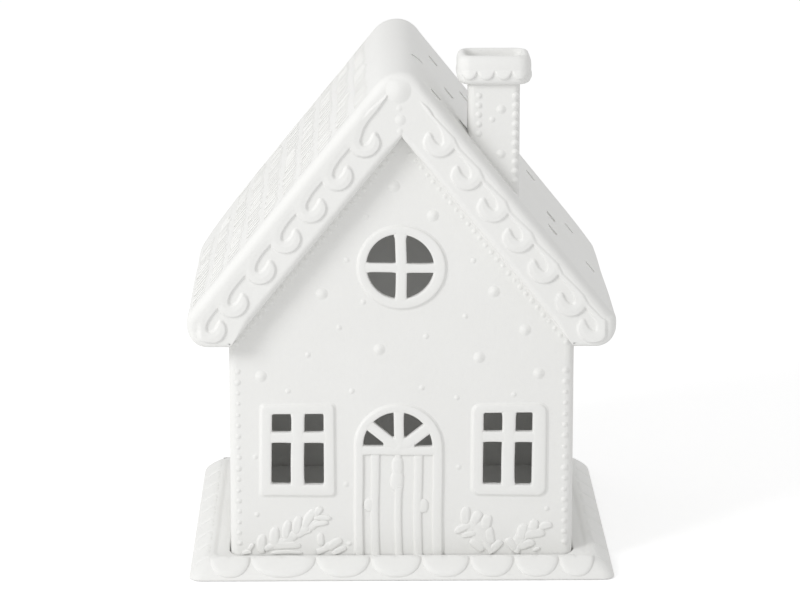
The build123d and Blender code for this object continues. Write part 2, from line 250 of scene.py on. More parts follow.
def rounded_path(corners, radii, steps=14):
    """A path through corners, each turned into an arc of its radius that touches both sides."""
    corners = np.asarray(corners, float)
    path = [corners[:1]]
    for before, at, after, radius in zip(corners[:-2], corners[1:-1], corners[2:], radii):
        u, v = unit(before - at), unit(after - at)
        half = np.arccos(np.clip(u @ v, -1, 1)) / 2
        bisect = unit(u + v)
        sideways = unit(u - bisect * (u @ bisect))
        centre = at + bisect * radius / sin(half)
        sweep = np.linspace(half - pi / 2, pi / 2 - half, steps)[:, None]
        path.append(centre - radius * (np.cos(sweep) * bisect + np.sin(sweep) * sideways))
    return np.concatenate(path + [corners[-1:]])


def even_steps(path, step):
    """The path sampled again at an even step along its length."""
    run = np.concatenate([[0.0], np.cumsum(np.linalg.norm(np.diff(path, axis=0), axis=1))])
    at = np.linspace(0.0, run[-1], int(run[-1] / step) + 2)
    return np.stack([np.interp(at, run, path[:, k]) for k in range(2)], -1), at


def spline(points, steps):
    """A smooth open curve through points: Catmull-Rom cubics, so many steps to each span."""
    p = np.asarray(points, float)
    p = np.concatenate([2 * p[:1] - p[1:2], p, 2 * p[-1:] - p[-2:-1]])
    t = np.linspace(0, 1, steps, endpoint=False)[None, :, None]
    a, b, c, d = p[:-3, None], p[1:-2, None], p[2:-1, None], p[3:, None]
    cubic = 0.5 * (2 * b + (c - a) * t + (2 * a - 5 * b + 4 * c - d) * t**2 + (3 * b - a - 3 * c + d) * t**3)
    return np.concatenate([cubic.reshape(-1, p.shape[1]), p[-2:-1]])


def depth_inside(points, outline):
    """Distance of each point to a closed outline, positive inside and negative outside."""
    a = outline[None]
    b = np.roll(outline, -1, axis=0)[None]
    p = points[:, None]
    edge = b - a
    t = np.clip(np.sum((p - a) * edge, -1) / np.maximum(np.sum(edge * edge, -1), 1e-12), 0, 1)
    nearest = np.min(np.hypot(*np.moveaxis(p - a - t[..., None] * edge, -1, 0)), axis=1)
    crosses = (a[..., 1] > p[..., 1]) != (b[..., 1] > p[..., 1])
    rise = np.where(np.abs(edge[..., 1]) < 1e-12, 1e-12, edge[..., 1])
    hits = crosses & (p[..., 0] < a[..., 0] + (p[..., 1] - a[..., 1]) * edge[..., 0] / rise)
    return np.where(hits.sum(1) % 2 == 1, nearest, -nearest)


def domes(centres, radii, out=FRONT, tall=0.6, rings=6, sectors=14, sunk=0.06):
    """Pearls: a bell that runs out softly at its foot, turned about the outward axis at each centre."""
    out = np.asarray(out, float)
    side = unit(np.cross(out, (0, 0, 1)))
    up = np.cross(side, out)
    reach = np.linspace(1, 0, rings)[:, None, None]
    turn = np.linspace(0, 2 * pi, sectors, endpoint=False)[None, :, None]
    bell = np.cos(reach * pi / 2) ** 1.25 - sunk
    shape = reach * (np.cos(turn) * side + np.sin(turn) * up) + tall * bell * out
    centres = np.asarray(centres, float)
    points = centres[:, None, None] + np.asarray(radii, float)[:, None, None, None] * shape[None]
    return points.reshape(-1, 3), copies(grid_faces(rings, sectors, ring=True), len(centres), rings * sectors)


def rect_rings(left, right, low, high, radius, steps=7):
    """Rounded rectangles, one for each row of the arrays: quarter arcs about four corner centres."""
    turn = np.linspace(0, pi / 2, steps)
    rows = []
    for quarter, (x, z, sx, sz) in enumerate((
        (right, high, -1, -1), (left, high, 1, -1), (left, low, 1, 1), (right, low, -1, 1)
    )):
        at = turn + quarter * pi / 2
        rows.append(np.stack([
            (x + sx * radius)[:, None] + radius[:, None] * np.cos(at),
            (z + sz * radius)[:, None] + radius[:, None] * np.sin(at),
        ], -1))
    return np.concatenate(rows, axis=1)


def frame_profile(relief, wall, skirt=0.0, steps=15, round_power=0.42):
    """Across a frame: a soft skirt on the wall, then a flat arch with rounded shoulders, closed behind.

    Gives the share of the frame's width, below zero on the skirt, and the height.
    """
    turn = np.linspace(pi, 0, steps)
    share = 0.5 + 0.5 * np.sign(np.cos(turn)) * np.abs(np.cos(turn)) ** round_power
    height = relief * np.abs(np.sin(turn)) ** 0.6
    foot = np.array([-1.0, -0.75, -0.35]) * skirt
    share = np.concatenate([[0.0], foot, share[1:], [1.0, 1.0, 1.0, 0.5]])
    height = np.concatenate([
        [-wall], np.array([-0.12, 0.06, 0.22]) * (skirt > 0), height[1:], [-0.6, -wall + 0.3, -wall, -wall]
    ])
    return share, height


def front_points(flat, height):
    """Points in x and z set at a height in front of the wall."""
    return spots(flat[..., 0], WALL_LOW[1] - height, flat[..., 1])


def bar(start, end, width, relief, wall, flare=0.9, lap=1.9, fade=0.7, steps=31, round_power=0.42):
    """A glazing bar: a flat arch section carried along a line, with a flare that fades inwards from each end.

    Both ends lap into the frames that the bar runs into, so the flare is widest a little way in.
    """
    start, end = np.asarray(start, float), np.asarray(end, float)
    length = np.linalg.norm(end - start)
    along = (end - start) / length
    across = np.array([-along[1], along[0]])
    share, height = frame_profile(relief, wall, round_power=round_power)
    s = np.linspace(0, 1, steps)
    near = np.minimum(s, 1 - s) * length
    wide = width + flare * np.exp(-np.maximum(near - lap, 0) / fade)
    off = (share - 0.5)[None, :, None] * wide[:, None, None] * across
    flat = start + s[:, None, None] * (end - start) + off
    points = front_points(flat, height[None])
    middle = points.mean(axis=1, keepdims=True)
    caps = np.repeat(middle[[0, -1]], points.shape[1], axis=1)
    points = np.concatenate([caps[:1], points, caps[1:]])
    return sheet(points, ring=True)


def pillows(spec, height, crease=0.12, blunt=2.5, sunk=0.15, bow=0.05):
    """Leaves: flat tablets whose half width and height fall off as superellipses, with a soft midrib crease.

    Each row of spec is x, z, length, width and angle in degrees; the middle line bows a little.
    """
    x, z, length, width, angle = (column[:, None, None] for column in np.asarray(spec, float).T)
    s = np.sin(np.linspace(-pi / 2, pi / 2, 15))[None, :, None]
    t = np.sin(np.linspace(-pi / 2, pi / 2, 11))[None, None, :]
    half = 0.5 * width * (1 - np.abs(s) ** blunt) ** (1 / blunt)
    arch = (1 - np.abs(t) ** 3) ** 0.5 * (1 - np.abs(s) ** 5) ** 0.5
    rise = height * arch * (1 - crease * np.exp(-((t / 0.25) ** 2)) * (1 - s**2)) - sunk
    u = 0.5 * s * length
    v = half * t + bow * length * (1 - s**2)
    turn = np.radians(angle)
    flat = np.stack([x + u * np.cos(turn) - v * np.sin(turn), z + u * np.sin(turn) + v * np.cos(turn)], -1)
    return front_points(flat, rise).reshape(-1, 3), copies(grid_faces(15, 11), len(spec), 15 * 11)


def stems(paths, radius):
    """Low stems: a half oval carried along a smooth curve on the wall, thinner to its tip."""
    parts = []
    for path in paths:
        line = spline(path, 8)
        run = unit(np.gradient(line, axis=0))
        across = np.stack([-run[:, 1], run[:, 0]], -1)
        turn = np.linspace(pi + 0.3, -0.3, 8)[None, :]
        thick = (radius * (1 - 0.5 * np.linspace(0, 1, len(line))))[:, None]
        flat = line[:, None] + (thick * np.cos(turn))[..., None] * across[:, None]
        parts.append(sheet(front_points(flat, 0.55 * thick * np.sin(turn))))
    return together(parts)


def roof_apex(size):
    """Height at which the planes of both slopes meet, above the rounded ridge."""
    return size["eave_height"] + WALL_HIGH[0] * tan(size["pitch"]) + size["board"] / cos(size["pitch"])


def roof_outline(size, side, step=0.75):
    """Half of the roof's end outline, from the ridge down a slope, round the eave and under it.

    Between ridge and eave the right slope lies a little lower than the left one.
    """
    eave, under = ROOF_HIGH[0], size["eave_height"]
    apex = roof_apex(size)
    low = apex - eave * tan(size["pitch"])
    corners = [(-eave, low), (0, apex), (eave, low), (eave, under), (WALL_HIGH[0] - 1, under)]
    radii = (size["ridge_round"], 0.8 * size["eave_round"], size["eave_round"])
    path = rounded_path(corners, radii)
    top = path[np.argmax(path[:, 1]), 1]
    path = np.concatenate([[(0.0, top)], path[path[:, 0] > 1e-6]])
    path, run = even_steps(path, step)
    way = unit(np.gradient(path, axis=0))
    way[0] = (1, 0)
    out = np.stack([-way[:, 1], way[:, 0]], -1)
    sink = SINK * (side > 0) * smooth(0, 14, run) * smooth(0.1, 0.6, out[:, 1])
    return path + (size["glaze"] - sink)[:, None] * out, out, run


def edge_round(out, size):
    """Radius of the roof's edge along its outline: full down the slope, tighter under the eaves."""
    return size["edge_round"] - (size["edge_round"] - EAVE_EDGE) * smooth(0.2, 0.9, -out[:, 1])


def shingle_cuts(run, y, size):
    """Depth of the shingle cuts on the left slope, and how far back their walls are cut under.

    In staggered courses: from near to far a ramp down to a wall that is cut under, then a lip that stands
    up over it and sinks away; each cut has its own length and strength, and some a pit at the lower end.
    """
    course = np.floor((run - FIRST_COURSE) / size["course"])
    place = run - FIRST_COURSE - course * size["course"]
    across = y / size["shingle"] + 0.5 * (course % 2)
    joint = np.floor(across + 0.5)
    off = (across - joint) * size["shingle"]
    first = size["course"] * (0.24 + 0.16 * scatter(course + 7, joint))
    last = size["course"] * (1.0 - 0.12 * scatter(course + 3, joint + 5))
    length = smooth(first - 0.5, first + 0.5, place) * (1 - smooth(last - 0.5, last + 0.5, place))
    pit = (scatter(course + 11, joint) < 0.22) * (y < 45) * smooth(last - 2.6, last - 1.2, place)
    patch = 0.5 + 0.5 * np.sin(y / 15.0 + 2.3 * course)
    room = (course >= 0) & (course <= 9) & (np.abs(y) < ROOF_HIGH[1] - 5) & ((course < 8) | (y < 46))
    power = (0.4 + (0.4 + 0.7 * patch) * scatter(course, joint * 3.0)) * (1 + 0.6 * pit) * length * room
    ramp = np.where(off < 0.01, np.clip(1 + off / (RAMP + RAMP * pit), 0, 1), 0.0)
    lip = np.where(off > 0.01, np.clip(off / LIP, 0, 1) * np.clip(1 - (off - LIP) / 2.5, 0, 1), 0.0)
    depth = size["cut_depth"] * (power * ramp - 0.7 * np.minimum(power, 1.0) * lip)
    return depth, 0.5 * np.minimum(power, 1.0) * (np.abs(off) < 0.01)


def slope_slots(run, y, size, deep=1.8, undercut=1.0):
    """Depth of the few knife cuts on the right slope, and how far back their walls are cut under.

    Each is a ramp that deepens to the back and ends at an upright wall.
    """
    depth = np.zeros(np.broadcast_shapes(run.shape, y.shape))
    under = np.zeros_like(depth)
    for at, back, wide in (
        (7.8, -19.4, 4.0), (19.4, 31.9, 5.5), (17.7, -61.1, 4.5), (28.1, -11.0, 5.5), (40.3, 37.5, 5.5),
        (35.8, -49.3, 5.0), (86.2, 46.4, 5.0), (94.9, -7.7, 6.5), (93.5, -38.0, 6.5), (110.0, 25.2, 3.6),
        (119.8, -15.7, 4.5),
    ):
        wall = np.round(2 * back / size["shingle"]) * size["shingle"] / 2
        ends = smooth(-2.8, -2.2, run - at) * (1 - smooth(2.2, 2.8, run - at))
        depth += deep * ends * np.where(y - wall < 0.01, np.clip(1 + (y - wall) / wide, 0, 1), 0.0)
        under += undercut * ends * (np.abs(y - wall) < 0.01)
    return depth, under


def roof_slope(size, side):
    """One slope: the end outline carried along y, rounded over onto both gable faces, with cut joints.

    On the right the front rounding reaches further back than down.
    """
    path, out, run = roof_outline(size, side)
    edge = edge_round(out, size)[:, None]
    shoulder = edge + 3.0 * (side > 0) * (smooth(2, 16, run) * smooth(-0.2, 0.5, out[:, 1]))[:, None]
    deep = ROOF_HIGH[1] + size["glaze"]
    rows = np.arange(-26, 27) * size["shingle"] / 2
    y = (rows[:, None] + np.array([-RAMP, -RAMP / 2, 0.0, 0.02, LIP])[None]).ravel()
    y = np.repeat(y[None, np.abs(y) < deep - shoulder.max() - 0.2], len(run), axis=0)
    turn = np.linspace(0, pi / 2, 9)[None]
    front = -deep - edge_lift(path, out, size, side)[:, None] + shoulder * (1 - np.sin(turn[:, ::-1]))
    back = deep - edge * (1 - np.sin(turn))
    round_in = edge * (1 - np.cos(turn))
    y = np.concatenate([front, y, back], axis=1)
    drop = np.concatenate([round_in[:, ::-1], np.zeros((len(run), y.shape[1] - 18)), round_in], axis=1)
    sag = 0.18 * np.sin(run[:, None] / 9.0 + 0.7) * np.sin(y / 13.0 + side)
    drop += sag * smooth(0, 12, deep - np.abs(y)) * smooth(0, 15, run)[:, None]
    cuts, under = (shingle_cuts if side < 0 else slope_slots)(run[:, None], y, size)
    flat = path[:, None] - (drop + cuts)[..., None] * out[:, None]
    points, faces = sheet(tuck_back(spots(side * flat[..., 0], y + under, flat[..., 1]), size, side))
    return open_flue(points, faces) if side > 0 else (points, faces)


def open_flue(points, faces):
    """Leaves the slope open where the flue goes through it; the opening's edge lies in the stack's walls."""
    middle = (STACK_LOW + STACK_HIGH)[:2] / 2
    reach = (STACK_HIGH - STACK_LOW)[:2] / 2 - 2.5
    away = np.abs(points[faces][..., :2].mean(axis=1) - middle) > reach
    used, faces = np.unique(faces[away.any(axis=1)], return_inverse=True)
    return points[used], faces.reshape(-1, 4)


def tuck_back(points, size, side):
    """Rounds a back corner in plan: each point moves forward by the sag of a quarter circle at its x."""
    radius = size["back_left"] if side < 0 else size["back_right"]
    past = np.clip(np.abs(points[..., 0]) - (ROOF_HIGH[0] - radius), 0, 0.999 * radius)
    sag = radius - np.sqrt(radius**2 - past**2)
    points[..., 1] -= sag * smooth(10.0, ROOF_HIGH[1], points[..., 1])
    return points


def icing_waves(count):
    """The waves of the icing about the feet of their hollows: crescent, foot, hook with a round tip, hollow.

    The lowest starts outside the board, the others at a cusp; the top one ends in a tail that thins out.
    """
    eave = [(-9.0, -12.0), (1.2, -7.4)]
    crescent = [(-5.0, -1.8), (-3.7, -3.3), (-1.9, -4.6), (0.4, -5.2)]
    hook = [
        (2.7, -4.9), (4.8, -3.7), (6.4, -1.7), (7.1, 0.5), (6.8, 2.4), (6.0, 3.9), (5.1, 4.6), (4.3, 4.5),
        (3.8, 3.8), (3.3, 2.6), (2.6, 1.4), (1.7, 0.5), (0.8, 0.0), (0.1, 0.0), (-0.45, 0.6), (-0.6, 1.7),
        (-0.2, 3.3),
    ]
    cusp = [(0.9, 5.3), (2.2, 7.2), (3.8, 9.1)]
    tail = [(0.5, 5.7), (1.9, 8.3), (4.0, 11.0), (6.1, 13.6), (9.9, 19.1)]
    last = count - 1
    return [(eave if i == 0 else crescent) + hook + (tail if i == last else cusp) for i in range(count)]


def icing_frame(size):
    """The left board's frame: outer corner at the eave, directions up and across, and each wave's way up."""
    up = np.array([cos(size["pitch"]), sin(size["pitch"])])
    across = np.array([up[1], -up[0]])
    eave = ROOF_HIGH[0]
    start = np.array([-eave, roof_apex(size) - eave * tan(size["pitch"])])
    by_hand = np.resize([1.4, -0.8, 0.2, -0.05, -0.45, -0.15, 0.65], size["scroll_count"])
    steps = 7.35 - size["eave_round"] + np.arange(size["scroll_count"]) * size["scroll_step"] + by_hand
    return start, up, across, steps


def icing_outline(size):
    """The raised band on the left board: the waves up the slope, then back down outside the board."""
    start, up, across, steps = icing_frame(size)
    feet = start + across * (size["board"] - 9.9) + steps[:, None] * up
    waves = [spline(foot + np.array(wave), 5) for foot, wave in zip(feet, icing_waves(len(steps)))]
    back = [start - 4.0 * across + reach * up for reach in (steps[-1] + 21.0, -16.0)]
    return np.concatenate(waves + [np.array(back)])


def edge_lift(path, out, size, side):
    """How far the icing stands off at the rounded roof edge: most on the left, none at tip and eave."""
    start, up, _, steps = icing_frame(size)
    way = (path * (-1, 1) - start) @ up
    share = smooth(-7, 1, way) * (1 - smooth(steps[-1] + 6, steps[-1] + 17, way))
    share *= 1 - smooth(0.0, 0.7, -out[:, 1])
    return (1.0 if side < 0 else 0.45) * share * (size["icing"] + 0.2)


def icing_height(flat, over, lift, size, side):
    """Height of the icing over the board: an S curve of the depth inside its outline, a little domed.

    Its outer edge lies so far over from the rounded roof edge: on the right it steps in beside each hollow
    and drifts out again, on the left it fades; beside the tail it closes in on both.
    """
    start, up, _, steps = icing_frame(size)
    mirrored = flat * (-1, 1)
    inside = depth_inside(mirrored.reshape(-1, 2), icing_outline(size)).reshape(over.shape)
    way = (mirrored - start) @ up
    phase = np.mod((way - steps.mean() + 0.5) / size["scroll_step"] + 0.5 * (len(steps) - 1), 1.0)
    waver = 1.4 * np.where(phase < 0.72, phase / 0.72, (1 - phase) / 0.28) * smooth(-4, 4, way) * (side > 0)
    tail = 2.2 * smooth(steps[-1] + 11, steps[-1] + 21, way)
    wide = 1.2 if side > 0 else 2.4 - 1.3 * smooth(steps[-1] + 1, steps[-1] + 8, way)
    rim = smooth(waver + tail, waver + tail + wide, over)
    held = (lift / (size["icing"] + 0.2))[:, None]
    band = size["icing"] * smooth(-0.3, 0.6, inside) + 0.2 * smooth(0.5, 3.0, inside)
    return band * (held + (1 - held) * rim)


def bargeboard(size, side, front):
    """A gable face of the roof: rows from the rounded outer edge to the soffit line, where it turns under.

    Each point is mixed from the outer outline to the inner raked line, and on the front raised by the icing.
    A last row drops to the underside of the eave.
    """
    path, out, _ = roof_outline(size, side, 0.42)
    fine = path - edge_round(out, size)[:, None] * out
    share = np.linspace(0, 1, len(fine))[:, None]
    rise = tan(size["pitch"])
    half = WALL_HIGH[0]
    normal = np.array([sin(size["pitch"]), cos(size["pitch"])])
    inner_top = np.array([0.0, size["eave_height"] + half * rise - SINK])
    inner_low = np.array([half - 1.0, size["eave_height"] + rise - SINK])
    line = inner_top + share * (inner_low - inner_top)
    lip = size["soffit_round"] * (0.05 + 0.95 * smooth(0.0, 9.0, inner_low[0] - line[:, :1]))
    line_off = line + lip * normal + (1 - smooth(0, 6, line[:, :1])) * np.array([-normal[0], 0.25]) * lip
    t = np.linspace(0, 1, 56)[None, :, None]
    flat = fine[:, None] * (1 - t) + line_off[:, None] * t
    height = np.zeros(flat.shape[:-1])
    if front:
        over = t[..., 0] * np.linalg.norm(line_off - fine, axis=1)[:, None]
        height = icing_height(flat, over, edge_lift(path, out, size, side), size, side)
    turn = np.linspace(0, pi / 2, 8)[None, 1:, None]
    under = line_off[:, None] + (line - line_off)[:, None] * np.sin(turn)
    y_face = ROOF_HIGH[1] + size["glaze"]
    y = np.concatenate([
        y_face + height,
        y_face - lip * (1 - np.cos(turn[..., 0])),
        np.full((len(fine), 1), WALL_HIGH[1] - SOFFIT_SEAT),
    ], axis=1)
    flat = np.concatenate([flat, under, line[:, None]], axis=1)
    points = spots(side * flat[..., 0], -y if front else y, flat[..., 1])
    shut = points[-1:].copy()
    past = np.clip(np.abs(shut[..., 1]) - (y_face - EAVE_EDGE), 0, EAVE_EDGE)
    shut[..., 2] = size["eave_height"] - size["glaze"] + EAVE_EDGE - np.sqrt(EAVE_EDGE**2 - past**2)
    return sheet(tuck_back(np.concatenate([points, shut]), size, side))


class TEALIGHT_OT_finishes(bpy.types.Operator):
    """Makes the finishes and gives them to the solids that stay in view"""

    bl_idname = "tealight.finishes"
    bl_label = "Finishes"

    def execute(self, context):
        colours = context.scene.tealight_colours
        tone = slip_tone_group()
        grain = clay_grain_group()
        ceramic_finish("ceramic", colours.ceramic, colours.ceramic_warm, tone, grain)
        plain_finish("cup", colours.cup, grain, roughness=0.32, metallic=1.0, bump=0.02)
        plain_finish("wax", colours.wax, grain, roughness=0.5, metallic=0.0, bump=0.05)
        plain_finish("wick", colours.wick, grain, roughness=0.85, metallic=0.0, bump=0.3)
        plain_finish("tin", colours.tin, grain, roughness=0.4, metallic=1.0, bump=0.02)
        slots = {"tealight_cup": "cup", "tealight_wax": "wax", "tealight_wick": "wick", "wick_foot": "tin"}
        for name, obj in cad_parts.items():
            obj.data.materials.clear()
            obj.data.materials.append(bpy.data.materials[slots.get(name, "ceramic")])
        return {"FINISHED"}


def node(tree, kind, inputs=(), **settings):
    """A new shader node with its settings; each input gets a value, or a link where that is a socket."""
    made = tree.nodes.new("ShaderNode" + kind)
    for key, value in settings.items():
        setattr(made, key, value)
    for key, value in dict(inputs).items():
        if isinstance(value, bpy.types.NodeSocket):
            tree.links.new(value, made.inputs[key])
        else:
            made.inputs[key].default_value = value
    return made


def group_tree(name, inputs, outputs):
    """A new shader node group with named sockets: its tree, and the sockets as they are seen inside it."""
    tree = bpy.data.node_groups.new(name, "ShaderNodeTree")
    for way, sockets in (("INPUT", inputs), ("OUTPUT", outputs)):
        for label, kind in sockets.items():
            tree.interface.new_socket(label, in_out=way, socket_type="NodeSocket" + kind)
    return tree, tree.nodes.new("NodeGroupInput").outputs, tree.nodes.new("NodeGroupOutput").inputs


def slip_tone_group():
    """Glaze tone: two whites mixed by a slow noise in Object coordinates."""
    tree, into, out = group_tree(
        "Slip tone", {"Tone A": "Color", "Tone B": "Color", "Scale": "Float"}, {"Color": "Color"})
    place = node(tree, "TexCoord").outputs["Object"]
    noise = node(tree, "TexNoise", {"Vector": place, "Scale": into["Scale"], "Detail": 3.0}).outputs["Fac"]
    mix = node(tree, "Mix", {0: noise, 6: into["Tone A"], 7: into["Tone B"]}, data_type="RGBA")
    tree.links.new(mix.outputs[2], out["Color"])
    return tree


def clay_grain_group():
    """Fine grain of the clay: the height of a small noise in Object coordinates."""
    tree, into, out = group_tree("Clay grain", {"Scale": "Float"}, {"Height": "Float"})
    place = node(tree, "TexCoord").outputs["Object"]
    fine = node(tree, "TexNoise", {"Vector": place, "Scale": into["Scale"], "Detail": 4.0, "Roughness": 0.6})
    tree.links.new(fine.outputs["Fac"], out["Height"])
    return tree


def new_finish(name, grain, roughness, metallic, bump):
    """A material with a Principled shader and the clay grain as its bump: its tree and its shader."""
    old = bpy.data.materials.get(name)
    if old:
        old.name = name + ".packed"
    material = bpy.data.materials.new(name)
    material.use_nodes = True
    tree = material.node_tree
    shader = tree.nodes["Principled BSDF"]
    shader.inputs["Roughness"].default_value = roughness
    shader.inputs["Metallic"].default_value = metallic
    height = node(tree, "Group", {"Scale": 420.0}, node_tree=grain).outputs["Height"]
    dent = node(tree, "Bump", {"Strength": bump, "Distance": 0.0006, "Height": height})
    tree.links.new(dent.outputs["Normal"], shader.inputs["Normal"])
    return tree, shader


def ceramic_finish(name, tone_a, tone_b, tone, grain):
    """Matte white glaze."""
    tree, shader = new_finish(name, grain, roughness=0.62, metallic=0.0, bump=0.22)
    shader.inputs["Specular IOR Level"].default_value = 0.35
    tones = {"Tone A": (*tone_a, 1.0), "Tone B": (*tone_b, 1.0), "Scale": 38.0}
    mixed = node(tree, "Group", tones, node_tree=tone)
    tree.links.new(mixed.outputs["Color"], shader.inputs["Base Color"])


def plain_finish(name, colour, grain, roughness, metallic, bump):
    """One even colour."""
    _, shader = new_finish(name, grain, roughness, metallic, bump)
    shader.inputs["Base Color"].default_value = (*colour, 1.0)


class TEALIGHT_OT_roof(bpy.types.Operator):
    """Lays the glazed slopes, bargeboards and icing scrolls over the roof"""

    bl_idname = "tealight.roof"
    bl_label = "Roof and icing"

    def execute(self, context):
        size = sizes()
        heart = (0, 0, size["eave_height"] + 20)
        for side, word in ((-1, "left"), (1, "right")):
            stands_for = ("roof",) if side < 0 else ()
            put(f"roof_slope_{word}", *roof_slope(size, side), heart, replaced=stands_for, sharp=radians(30))
            put(f"icing_board_{word}", *bargeboard(size, side, True), heart, replaced=(f"icing_{word}",))
            put(f"back_board_{word}", *bargeboard(size, side, False), heart)
        top = box_mm("apex_boss")[1][2]
        across, below = np.array([(-1.3, 4.2), (-1.1, 11.0), (-0.6, 15.6), (-0.8, 20.0)]).T
        centres = spots(across, ROOF_LOW[1] - 0.2, top - below)
        points, faces = domes(centres, (5.7, 1.7, 2.7, 1.7), tall=0.24, rings=12, sectors=32)
        edge = size["edge_round"]
        bend = np.clip(points[:, 2] - (top + 2.4 - edge), 0, 0.95 * edge)
        points[:, 1] += edge - np.sqrt(edge**2 - bend**2)
        put("apex_drops", points, faces, heart, replaced=("apex_boss",))
        return {"FINISHED"}


class TEALIGHT_OT_windows(bpy.types.Operator):
    """Makes the two cross-barred windows and the round gable window"""

    bl_idname = "tealight.windows"
    bl_label = "Windows"

    def execute(self, context):
        size = sizes()
        for name, corner, sides, shift in (
            ("window_left", 0.9, (4.4, 3.8, 4.4, 4.9), 0.0), ("window_right", 2.7, (4.4, 3.5, 5.7, 4.5), -0.3)
        ):
            pane = self.pane_window(name, corner, sides, shift, size)
            put(name + "_frame", *pane, (0, 40, 50), replaced=(name,))
        put("window_gable_ring", *self.round_window(size), (0, 40, 124), replaced=("window_gable",))
        return {"FINISHED"}

    def pane_window(self, name, corner, sides, shift, size):
        """A closed frame section carried round a rounded rectangle, with a cross of bars.

        The widths of the sides are left, top, right and sill; the upright bar is shifted off the middle.
        """
        low, high = box_mm(name)
        left, top, right, sill = sides
        lintel, upper_pane, half_bar = 3.8, 7.4, 2.25
        upright, cross_bar, thin = 5.3, 4.3, size["wall"] - 0.2
        share, height = frame_profile(size["relief"], size["wall"], skirt=0.2)
        rings = rect_rings(
            low[0] + left * share, high[0] - right * share, low[2] + sill * share, high[2] - top * share,
            np.maximum(corner * (1 - share), 0.0) + 0.8,
        )
        parts = [sheet(front_points(rings, height[:, None]), ring=True, loop=True)]
        mid = (low[0] + high[0]) / 2 + shift
        cross = high[2] - lintel - upper_pane - half_bar
        foot, head = (mid, low[2] + 0.5 * sill), (mid, high[2] - 0.5 * top)
        parts.append(bar(foot, head, upright, size["relief"] * 0.96, thin))
        for x0, x1 in ((low[0] + 0.5 * left, mid), (mid, high[0] - 0.5 * right)):
            parts.append(bar((x0, cross), (x1, cross), cross_bar, size["relief"] * 0.9, thin))
        points, faces = together(parts)
        lean = 1 + 0.016 * ((low[2] + high[2]) / 2 - points[:, 2]) / (high[2] - low[2])
        points[:, 0] = mid + (points[:, 0] - mid) * lean
        return hand_cut(points), faces

    def round_window(self, size):
        """A closed frame section carried round an oval, with a cross of bars."""
        low, high = box_mm("window_gable")
        share, height = frame_profile(size["relief"], size["wall"], skirt=0.2)
        centre = (low + high) / 2
        half = (high - low) / 2
        turn = np.linspace(0, 2 * pi, 96, endpoint=False)
        wide = (half[0] - 4.1 * share)[:, None]
        tall = (half[2] - 3.7 * share)[:, None]
        rings = np.stack([
            centre[0] + wide * np.cos(turn) - 0.7 * share[:, None],
            centre[2] + tall * np.sin(turn) + 0.3 * share[:, None],
        ], -1)
        parts = [sheet(front_points(rings, height[:, None]), ring=True, loop=True)]
        upright, cross_bar, thin = 4.4, 3.6, size["wall"] - 0.2
        x, z = centre[0] - 0.3, centre[2] - 0.2
        foot, head = (x, z - half[2] + 2.0), (x, z + half[2] - 1.8)
        parts.append(bar(foot, head, upright, size["relief"] * 0.96, thin))
        for end in (-1, 1):
            parts.append(bar((x, z), (x + end * (half[0] - 2.0), z), cross_bar, size["relief"] * 0.92, thin))
        points, faces = together(parts)
        return hand_cut(points), faces


